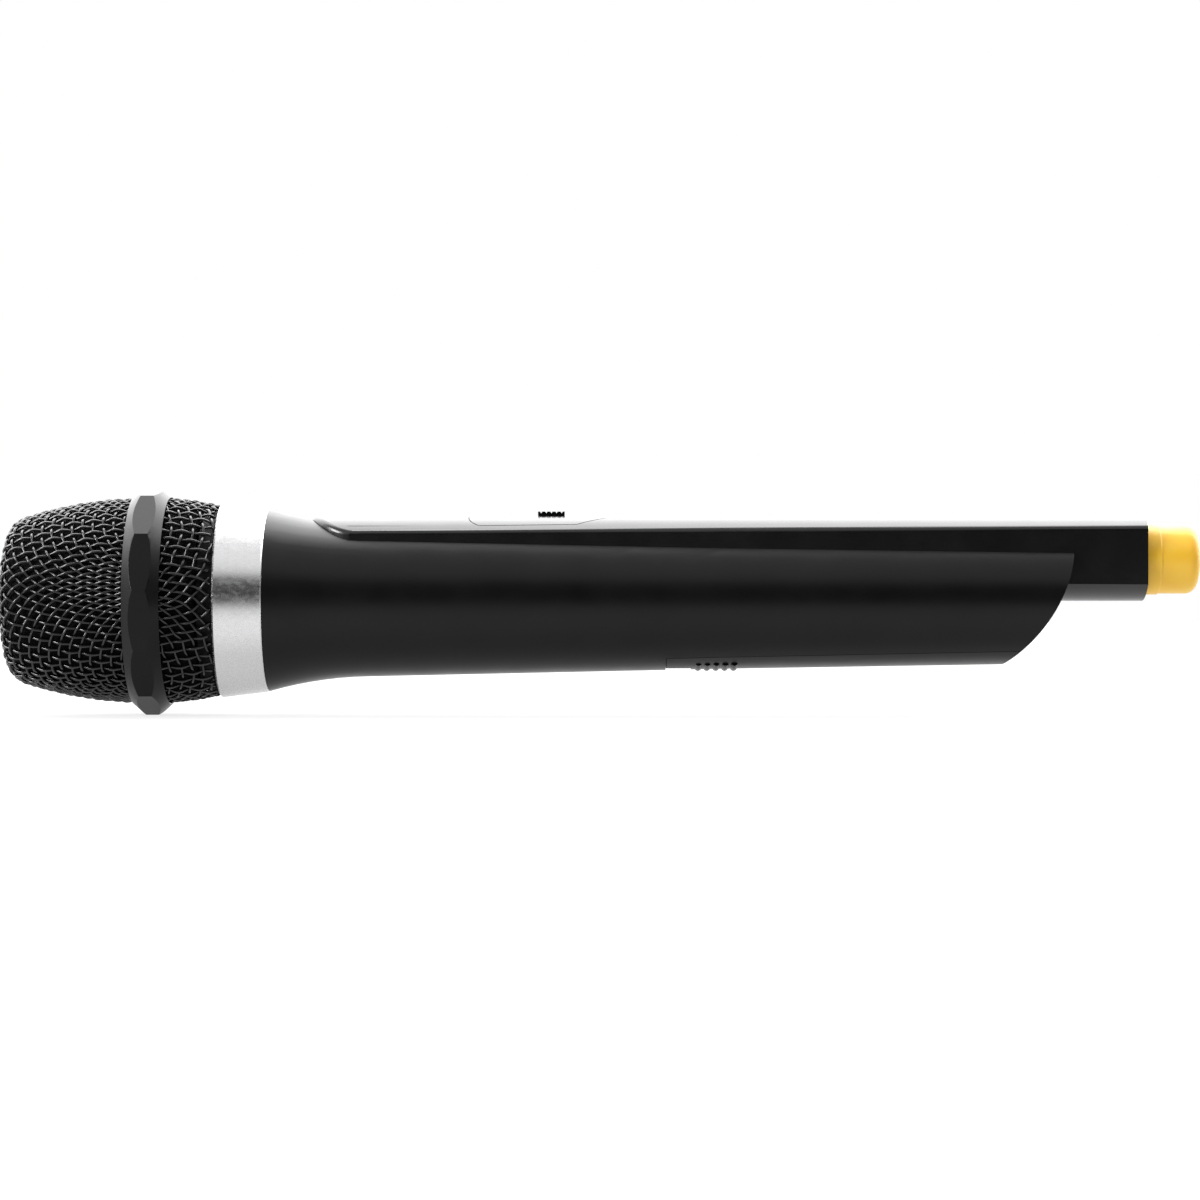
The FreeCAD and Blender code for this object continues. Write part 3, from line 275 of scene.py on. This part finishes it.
def wavy(net, keys, cup, amplitude):
    """One wire's centre line: a Catmull-Rom curve through its crossings, with its waves."""
    spots = [net[k] for k in keys]
    ups = [cup.up(p) for p in spots]
    signs = [1 if (k[0] + k[1]) % 2 == 0 else -1 for k in keys]
    before = 2 * spots[0] - spots[1]
    after = 2 * spots[-1] - spots[-2]
    padded = [before] + spots + [after]
    line = []
    for k in range(len(keys) - 1):
        a, b, c, d = padded[k:k + 4]
        for step in range(STEPS):
            t = step / STEPS
            spot = 0.5 * (2 * b + (c - a) * t + (2 * a - 5 * b + 4 * c - d) * t * t
                          + (3 * b - a - 3 * c + d) * t ** 3)
            up = unit(ups[k] * (1 - t) + ups[k + 1] * t)
            line.append((spot + up * amplitude * signs[k] * math.cos(math.pi * t), up))
    line.append((spots[-1] + ups[-1] * amplitude * signs[-1], ups[-1]))
    return line


def tubes(lines, radius, low, high):
    """Closed round tubes along the lines, in metres, kept between two stations."""
    verts, faces = [], []
    ring = [(math.cos(2 * math.pi * k / SIDES), math.sin(2 * math.pi * k / SIDES)) for k in range(SIDES)]
    for line in lines:
        run = []
        for spot, up in line + [(None, None)]:
            if spot is not None and low + radius <= spot[0] <= high - radius:
                run.append((spot, up))
                continue
            if len(run) > 2:
                base = len(verts)
                for k, (p, n) in enumerate(run):
                    ahead = run[min(k + 1, len(run) - 1)][0] - run[max(k - 1, 0)][0]
                    side = unit(np.cross(ahead, n))
                    top = unit(np.cross(side, ahead))
                    for c, s in ring:
                        verts.append((p + radius * (c * side + s * top)) * MM)
                for k in range(len(run) - 1):
                    for m in range(SIDES):
                        a, b = base + k * SIDES + m, base + k * SIDES + (m + 1) % SIDES
                        faces.append((a, b, b + SIDES, a + SIDES))
                faces.append([base + m for m in reversed(range(SIDES))])
                faces.append([base + (len(run) - 1) * SIDES + m for m in range(SIDES)])
            run = []
    return verts, faces


def wire_cup(name, node, line, low, high, turn, seed):
    """A woven cup that stands in for a CAD node and rides the grille."""
    cup = Cup(sunk(line, WIRE_MM))
    quarter = quarter_net(cup, CELL_MM, cup.along[-2] + CELL_MM)
    lines = wires_of(whole_net(quarter, turn, seed), cup, WIRE_MM / 2)
    piece = new_piece(name, *tubes(lines, WIRE_MM / 2, low, high))
    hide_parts(node)
    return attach(piece, "grille")


# ---- materials ----

class Finish:
    """One procedural material, built round a Principled shader."""

    def __init__(self, name, colour, roughness, metallic=0.0, **constants):
        self.material = bpy.data.materials.new(name)
        self.material.use_nodes = True
        self.tree = self.material.node_tree
        self.shader = self.tree.nodes["Principled BSDF"]
        self.set("Base Color", (*colour, 1.0))
        self.set("Roughness", roughness)
        self.set("Metallic", metallic)
        for word, value in constants.items():
            self.set(word.replace("_", " "), value)
        self.place = self.add("ShaderNodeTexCoord").outputs["Object"]

    def set(self, socket, value):
        self.shader.inputs[socket].default_value = value

    def add(self, kind, **settings):
        made = self.tree.nodes.new(kind)
        for word, value in settings.items():
            setattr(made, word, value)
        return made

    def link(self, source, target):
        self.tree.links.new(source, target)

    def stretched(self, scale):
        mapping = self.add("ShaderNodeMapping")
        mapping.inputs["Scale"].default_value = scale
        self.link(self.place, mapping.inputs["Vector"])
        return mapping.outputs["Vector"]

    def noise(self, per_metre, detail=3.0, stretch=(1, 1, 1)):
        made = self.add("ShaderNodeTexNoise")
        made.inputs["Scale"].default_value = per_metre
        made.inputs["Detail"].default_value = detail
        self.link(self.stretched(stretch), made.inputs["Vector"])
        return made.outputs["Fac"]

    def pores(self, per_metre):
        made = self.add("ShaderNodeTexVoronoi")
        made.inputs["Scale"].default_value = per_metre
        self.link(self.place, made.inputs["Vector"])
        return made.outputs["Distance"]

    def between(self, value, low, high, start=0.3, end=0.7):
        made = self.add("ShaderNodeMapRange")
        for word, number in (("From Min", start), ("From Max", end), ("To Min", low), ("To Max", high)):
            made.inputs[word].default_value = number
        self.link(value, made.inputs["Value"])
        return made.outputs["Result"]

    def blend(self, share, one, other):
        """Colour between two colours or sockets."""
        made = self.add("ShaderNodeMix", data_type="RGBA")
        self.link(share, made.inputs["Factor"])
        for socket, colour in ((made.inputs[6], one), (made.inputs[7], other)):
            if isinstance(colour, tuple):
                socket.default_value = (*colour, 1.0)
            else:
                self.link(colour, socket)
        return made.outputs[2]

    def colour(self, share, one, other):
        self.link(self.blend(share, one, other), self.shader.inputs["Base Color"])

    def roughness(self, value, low, high):
        self.link(self.between(value, low, high), self.shader.inputs["Roughness"])

    def bump(self, height, depth_mm):
        made = self.add("ShaderNodeBump")
        made.inputs["Strength"].default_value = 1.0
        made.inputs["Distance"].default_value = depth_mm * MM
        self.link(height, made.inputs["Height"])
        self.link(made.outputs["Normal"], self.shader.inputs["Normal"])


def moulded(name, colour, roughness, grain_per_metre, grain_mm, spread=0.06, **constants):
    """Moulded plastic or rubber: fine grain, and slow changes of tone and gloss."""
    made = Finish(name, colour, roughness, **constants)
    slow = made.noise(60, 2.0)
    lighter = tuple(min(1.0, c * 1.25 + 0.001) for c in colour)
    made.colour(made.between(slow, 0.0, 1.0), colour, lighter)
    made.roughness(made.noise(140, 4.0), roughness - spread / 2, roughness + spread / 2)
    made.bump(made.noise(grain_per_metre, 3.0), grain_mm)
    return made


def plated(name, colour, roughness, grain_per_metre, grain_mm, stretch=(1, 1, 1)):
    """Bare or plated metal with a fine grain."""
    made = Finish(name, colour, roughness, metallic=1.0)
    grain = made.noise(grain_per_metre, 4.0, stretch)
    darker = tuple(c * 0.93 for c in colour)
    made.colour(made.between(grain, 0.0, 1.0), darker, colour)
    made.roughness(made.noise(grain_per_metre * 0.6, 3.0, stretch), roughness - 0.05, roughness + 0.05)
    made.bump(grain, grain_mm)
    return made


def make_finishes():
    found = {}
    found["wire_mesh"] = moulded("wire_black_enamel", (0.0016, 0.0016, 0.0018), 0.22, 2500, 0.01,
                                 Specular_IOR_Level=0.7)
    foam = Finish("foam_open_cell", (0.010, 0.010, 0.011), 1.0, Specular_IOR_Level=0.15)
    cells = foam.pores(1900)
    # Darker towards the bottom of each cell's pit, where the bump sinks it: painted shade in the pores.
    foam.colour(foam.between(cells, 0.0, 1.0, 0.1, 0.6), (0.0006, 0.0006, 0.0007), (0.0035, 0.0035, 0.004))
    foam.bump(cells, 0.25)
    found["foam"] = foam
    found["ring_plastic"] = moulded("ring_black_plastic", (0.0018, 0.0018, 0.002), 0.24, 1800, 0.003,
                                    Specular_IOR_Level=0.22)
    found["neck_plastic"] = moulded("neck_black_plastic", (0.0012, 0.0012, 0.0013), 0.5, 2200, 0.006,
                                    Specular_IOR_Level=0.15)
    found["handle_plastic"] = moulded("handle_satin_black", (0.0028, 0.0028, 0.003), 0.31, 3200, 0.005,
                                      Specular_IOR_Level=0.27)
    found["module_plastic"] = moulded("module_black_plastic", (0.0032, 0.0032, 0.0034), 0.24, 2600, 0.003,
                                      Specular_IOR_Level=0.6)
    found["seal_rubber"] = moulded("seal_rubber", (0.02, 0.02, 0.021), 0.75, 1500, 0.02)
    found["capsule_plastic"] = moulded("capsule_grey_plastic", (0.05, 0.05, 0.055), 0.45, 1800, 0.006)
    found["film"] = moulded("film_amber", (0.55, 0.38, 0.14), 0.2, 900, 0.01,
                            Transmission_Weight=0.35)
    found["lead_skin"] = moulded("lead_red_skin", (0.32, 0.015, 0.012), 0.45, 1600, 0.01)
    found["clear_plastic"] = moulded("light_pipe_clear", (0.55, 0.58, 0.56), 0.12, 900, 0.003,
                                     Transmission_Weight=0.5)
    found["chip"] = moulded("chip_epoxy", (0.018, 0.018, 0.02), 0.6, 2600, 0.01)
    found["collar_silver"] = plated("collar_satin_silver", (0.87, 0.87, 0.88), 0.27, 1900, 0.0015,
                                    (0.6, 1.0, 1.0))
    found["copper"] = plated("copper_wire", (0.78, 0.36, 0.2), 0.28, 3000, 0.004)
    found["magnet_nickel"] = plated("nickel", (0.66, 0.63, 0.58), 0.24, 1300, 0.005)
    found["steel"] = plated("zinc_steel", (0.62, 0.63, 0.65), 0.3, 1600, 0.006)
    found["ink"] = moulded("printed_ink", (0.42, 0.42, 0.42), 0.6, 2400, 0.004)
    found["tip_yellow"] = make_tip_finish()
    found["board"] = make_board_finish()
    found["battery_skin"] = make_battery_finish()
    return {slot: finish.material for slot, finish in found.items()}


def make_tip_finish():
    """Translucent yellow plastic, with a faint orange glow painted in for light shining through it."""
    # Emission_Strength and Emission Color make a painted glow that stands in for light passing through the
    # tip.
    made = Finish("tip_yellow_plastic", (0.9, 0.5, 0.03), 0.34, Subsurface_Weight=0.35,
                  Subsurface_Scale=0.004, Emission_Strength=0.08)
    made.set("Emission Color", (1.0, 0.62, 0.08, 1.0))
    made.set("Subsurface Radius", (1.0, 0.55, 0.12))
    slow = made.noise(170, 3.0)
    made.colour(made.between(slow, 0.0, 1.0), (0.90, 0.50, 0.03), (0.93, 0.56, 0.05))
    made.roughness(made.noise(400, 3.0), 0.28, 0.4)
    made.bump(made.noise(1400, 3.0), 0.006)
    return made


def make_board_finish():
    """Green solder mask with the tracks showing through it."""
    made = Finish("board_green_mask", (0.01, 0.12, 0.05), 0.3)
    bricks = made.add("ShaderNodeTexBrick")
    for word, value in (("Scale", 420.0), ("Mortar Size", 0.06), ("Brick Width", 1.6),
                        ("Row Height", 0.35)):
        bricks.inputs[word].default_value = value
    made.link(made.stretched((1, 1, 0)), bricks.inputs["Vector"])
    made.colour(bricks.outputs["Fac"], (0.008, 0.10, 0.04), (0.03, 0.22, 0.09))
    made.roughness(made.noise(300, 2.0), 0.24, 0.36)
    made.bump(bricks.outputs["Fac"], 0.03)
    return made


def make_battery_finish():
    """Printed sleeve in two colours that meet in a soft-edged ring."""
    made = Finish("cell_sleeve", (0.02, 0.02, 0.024), 0.3)
    split = made.add("ShaderNodeSeparateXYZ")
    made.link(made.place, split.inputs["Vector"])
    band = made.between(split.outputs["X"], 0.0, 1.0, 0.058, 0.0582)
    tone = made.between(made.noise(90, 2.0), 0.0, 1.0)
    dark = made.blend(tone, (0.016, 0.017, 0.02), (0.028, 0.029, 0.033))
    made.colour(band, dark, (0.62, 0.31, 0.06))
    made.roughness(made.noise(250, 3.0), 0.24, 0.36)
    made.bump(made.noise(700, 2.0), 0.008)
    return made


def dress_nodes(finishes):
    """Each CAD node gets the finish of the slot that its packed material names."""
    for node in nodes.values():
        for place, packed in enumerate(node.data.materials):
            node.data.materials[place] = finishes[packed.name]


# ---- pieces ----

def make_front_wire():
    """The front cup's net starts from its crown."""
    line = outer_line("front_mesh")
    low, high = (edge.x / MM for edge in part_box("front_mesh"))
    return wire_cup("front_wire", "front_mesh", [(low, 0.0)] + line, low - 1, high,
                    FRONT_TURN, FRONT_SEED)


def make_rear_wire():
    """The rear cup's net starts from the middle of its floor, which the neck takes up."""
    line = outer_line("rear_mesh")[1:]
    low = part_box("rear_mesh")[0].x / MM
    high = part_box("collar_ring")[0].x / MM - 0.1
    rim = (high + 0.3, line[-1][1] - 0.2)
    floor = high + 0.8
    line = [(floor, 0.0), (floor, rim[1] - 0.5), rim] + line[::-1]
    return wire_cup("rear_wire", "rear_mesh", line, low, high, REAR_TURN, REAR_SEED)


def make_neck():
    """The cups' flange and the screw thread behind it, cut as a rounded right-hand ridge."""
    low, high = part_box("grille_neck")
    front, rear = low.x / MM, high.x / MM
    around, crest, bore, flange = 96, 16.3, 14.0, 20.25
    flange_rear, chamfer, foot = -84.95, 0.15, 0.3
    thread_start, thread_end, pitch, depth = -84.3, rear - 0.5, 1.5, 0.75
    outline = [(front, bore), (front, flange - chamfer), (front + chamfer, flange),
               (flange_rear - chamfer, flange), (flange_rear, flange - chamfer),
               (flange_rear, crest - depth)]
    stations = np.arange(thread_start, thread_end, pitch / 8)
    outline += [(x, None) for x in stations]
    outline += [(rear - foot, crest - depth), (rear, crest - depth - foot), (rear, bore)]
    verts, faces = [], []
    for x, radius in outline:
        for k in range(around):
            angle = 2 * math.pi * k / around
            r = radius
            if r is None:
                run_out = min(1.0, (x - thread_start) / 0.5, (thread_end - x) / 0.5)
                turn = (x / pitch - k / around) % 1.0
                r = crest - depth + depth * run_out * (0.5 - 0.5 * math.cos(2 * math.pi * turn)) ** 0.8
            verts.append((x * MM, r * math.cos(angle) * MM, r * math.sin(angle) * MM))
    rows = len(outline)
    for row in range(rows):
        for k in range(around):
            a, b = row * around + k, row * around + (k + 1) % around
            c, d = ((row + 1) % rows) * around + k, ((row + 1) % rows) * around + (k + 1) % around
            faces.append((a, c, d, b))
    piece = new_piece("threaded_neck", verts, faces)
    piece.data.set_sharp_from_angle(angle=math.radians(35))
    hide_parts("grille_neck")
    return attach(piece, "grille")


def make_marks():
    """Two printed marks on the switch plate, a bar where the knob is on and a ring where it is off."""
    plate = nodes["switch_plate"]
    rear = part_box("switch_plate")[1].x / MM
    knob_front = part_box("switch_knob")[0].x / MM
    half_bar, size, bore = 0.25, 0.9, 0.55
    above, below = 0.03, -0.05
    bar = [[(-half_bar, -size), (half_bar, -size), (half_bar, size), (-half_bar, size)]]
    shapes = [("on_mark", bar, knob_front - 3.4)]
    around = 24
    angles = [2 * math.pi * k / around for k in range(around)]
    spots = [(math.cos(angle), math.sin(angle)) for angle in angles]
    ring = [[(size * a[0], size * a[1]), (size * b[0], size * b[1]), (bore * b[0], bore * b[1]),
             (bore * a[0], bore * a[1])] for a, b in zip(spots, spots[1:] + spots[:1])]
    shapes.append(("off_mark", ring, rear - 2.3))
    pieces = []
    for name, patches, station in shapes:
        verts, faces = [], []
        for patch in patches:
            corners = []
            for lift in (above, below):
                for x, y in patch:
                    ray = plate.ray_cast(Vector((station + x, y, 40)) * MM, Vector((0, 0, -1)))
                    corners.append(ray[1] + Vector((0, 0, lift * MM)))
            base = len(verts)
            verts += corners
            faces += [[base + k for k in face] for face in
                      ((0, 1, 2, 3), (7, 6, 5, 4), (0, 4, 5, 1), (1, 5, 6, 2), (2, 6, 7, 3), (3, 7, 4, 0))]
        piece = new_piece(name, verts, faces, smooth=False)
        pieces.append(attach(piece, "handle"))
    return pieces


def make_foam(name, node):
    """Open-cell foam liner: the CAD form with a torn-cell surface."""
    piece = bpy.data.objects.new(name, nodes[node].data.copy())
    scene.collection.objects.link(piece)
    weld = piece.modifiers.new("weld", "WELD")
    weld.merge_threshold = 0.00001
    remesh = piece.modifiers.new("cells", "REMESH")
    remesh.mode = "VOXEL"
    remesh.voxel_size = 0.0007
    remesh.use_smooth_shade = True
    cells = bpy.data.textures.new(name + "_cells", "CLOUDS")
    cells.noise_scale = 0.0016
    cells.noise_depth = 1
    displace = piece.modifiers.new("open_cells", "DISPLACE")
    displace.texture = cells
    displace.texture_coords = "LOCAL"
    displace.strength = 0.0006
    displace.mid_level = 0.85
    return settle(piece, node)


def settle(piece, node):
    """Applies a piece's modifiers, and lets it stand in for its CAD node on the grille."""
    evaluated = piece.evaluated_get(bpy.context.evaluated_depsgraph_get())
    mesh = bpy.data.meshes.new_from_object(evaluated)
    piece.modifiers.clear()
    piece.data = mesh
    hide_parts(node)
    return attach(piece, "grille")


def round_edges(node, width_mm, least_degrees):
    """Moulded edges: the CAD node keeps its mesh, and modifiers round what is sharp."""
    weld = nodes[node].modifiers.new("weld", "WELD")
    weld.merge_threshold = 0.000002
    bevel = nodes[node].modifiers.new("edges", "BEVEL")
    bevel.width = width_mm * MM
    bevel.segments = 3
    bevel.limit_method = "ANGLE"
    bevel.angle_limit = math.radians(least_degrees)
    bevel.harden_normals = False
    shade = nodes[node].modifiers.new("shade", "WEIGHTED_NORMAL")
    shade.keep_sharp = False


def build():
    """Dresses the CAD nodes and adds the pieces that replace or join them."""
    finishes = make_finishes()
    dress_nodes(finishes)
    round_edges("anti_roll_ring", 0.28, 22)
    for piece, slot in ((make_front_wire(), "wire_mesh"), (make_rear_wire(), "wire_mesh"),
                        (make_neck(), "neck_plastic")):
        piece.data.materials.append(finishes[slot])
    for piece in make_marks():
        piece.data.materials.append(finishes["ink"])
    for name, node in (("front_foam_liner", "front_foam"), ("rear_foam_liner", "rear_foam")):
        piece = make_foam(name, node)
        piece.data.materials.clear()
        piece.data.materials.append(finishes["foam"])


# ---- studio ----

def make_camera():
    """The photograph's view, square on to the side of the microphone."""
    camera = bpy.data.objects.new("camera", bpy.data.cameras.new("camera"))
    scene.collection.objects.link(camera)
    camera.data.sensor_width = 36
    camera.data.lens = LENS_MM
    camera.location = CAMERA_PLACE
    camera.rotation_euler = (math.pi / 2, 0, 0)
    camera.data.clip_start = 0.01
    scene.camera = camera


def make_world():
    """White studio: a bright background, a soft ceiling, and a dark gap behind the camera."""
    world = bpy.data.worlds.new("studio")
    scene.world = world
    world.use_nodes = True
    tree = world.node_tree
    tree.nodes.clear()
    place = tree.nodes.new("ShaderNodeTexCoord")
    split = tree.nodes.new("ShaderNodeSeparateXYZ")
    tree.links.new(place.outputs["Generated"], split.inputs["Vector"])

    def ramp(socket, start, end, low, high):
        made = tree.nodes.new("ShaderNodeMapRange")
        made.interpolation_type = "SMOOTHSTEP"
        for word, number in (("From Min", start), ("From Max", end), ("To Min", low), ("To Max", high)):
            made.inputs[word].default_value = number
        tree.links.new(socket, made.inputs["Value"])
        return made.outputs["Result"]

    def join(operation, one, other):
        made = tree.nodes.new("ShaderNodeMath")
        made.operation = operation
        tree.links.new(one, made.inputs[0])
        tree.links.new(other, made.inputs[1])
        return made.outputs["Value"]

    front = ramp(split.outputs["Y"], -0.35, -0.05, 1.0, 0.0)
    below = ramp(split.outputs["Z"], 0.36, 0.66, 1.0, 0.0)
    gap = ramp(join("MULTIPLY", front, below), 0.0, 1.0, CEILING, GAP)
    back = ramp(split.outputs["Y"], -0.06, 0.26, 0.0, 1.0)
    glow = ramp(split.outputs["Z"], 0.15, 0.8, *BACKGROUND)
    level = join("ADD", join("MULTIPLY", back, glow), gap)
    shade = tree.nodes.new("ShaderNodeBackground")
    tree.links.new(level, shade.inputs["Color"])
    plain = tree.nodes.new("ShaderNodeBackground")
    plain.inputs["Color"].default_value = (1, 1, 1, 1)
    rays = tree.nodes.new("ShaderNodeLightPath")
    mix = tree.nodes.new("ShaderNodeMixShader")
    tree.links.new(rays.outputs["Is Camera Ray"], mix.inputs["Fac"])
    tree.links.new(shade.outputs["Background"], mix.inputs[1])
    tree.links.new(plain.outputs["Background"], mix.inputs[2])
    output = tree.nodes.new("ShaderNodeOutputWorld")
    tree.links.new(mix.outputs["Shader"], output.inputs["Surface"])


def make_softbox(name, place, size, radiance):
    """A soft square lamp of the given brightness, turned to the microphone."""
    data = bpy.data.lights.new(name, "AREA")
    data.shape = "RECTANGLE"
    data.size, data.size_y = size
    data.energy = radiance * math.pi * size[0] * size[1]
    light = bpy.data.objects.new(name, data)
    scene.collection.objects.link(light)
    light.location = place
    light.rotation_euler = (Vector(SOFTBOX_AIM) - Vector(place)).to_track_quat("-Z", "Y").to_euler()


def make_floor():
    """Pale table top that can be looked through from below."""
    level = cad_box[0].z
    corners = [(FLOOR_HALF * x, FLOOR_HALF * y, level) for x, y in ((-1, -1), (1, -1), (1, 1), (-1, 1))]
    floor = new_piece("floor", corners, [(0, 1, 2, 3)], smooth=False)
    made = Finish("floor_white", (0.3, 0.3, 0.3), 0.9, Specular_IOR_Level=0.1)
    made.bump(made.noise(900, 2.0), 0.01)
    split = made.add("ShaderNodeSeparateXYZ")
    made.link(made.place, split.inputs["Vector"])
    near = made.between(split.outputs["Y"], 0.0, 1.0, -0.35, -0.04)
    made.colour(near, (0.03, 0.03, 0.03), (0.16, 0.16, 0.16))
    rays = made.add("ShaderNodeLightPath")
    made.set("Emission Color", (1, 1, 1, 1))
    glow = made.add("ShaderNodeMix", data_type="FLOAT")
    made.link(rays.outputs["Is Camera Ray"], glow.inputs["Factor"])
    made.link(made.between(near, 0.0, 0.5, 0.0, 1.0), glow.inputs["A"])
    made.link(made.between(near, 1.0, 0.75, 0.0, 1.0), glow.inputs["B"])
    made.link(glow.outputs["Result"], made.shader.inputs["Emission Strength"])
    under = made.add("ShaderNodeNewGeometry")
    clear = made.add("ShaderNodeBsdfTransparent")
    sides = made.add("ShaderNodeMixShader")
    made.link(under.outputs["Backfacing"], sides.inputs["Fac"])
    made.link(made.shader.outputs["BSDF"], sides.inputs[1])
    made.link(clear.outputs["BSDF"], sides.inputs[2])
    made.link(sides.outputs["Shader"], made.tree.nodes["Material Output"].inputs["Surface"])
    floor.data.materials.append(made.material)


def make_studio():
    """Camera, surroundings, floor and lamp."""
    scene.view_settings.view_transform = "Standard"
    make_camera()
    make_world()
    make_floor()
    make_softbox("softbox_left", (-0.75, -0.42, 0.34), (0.35, 0.35), 22.0)


make_studio()
build()
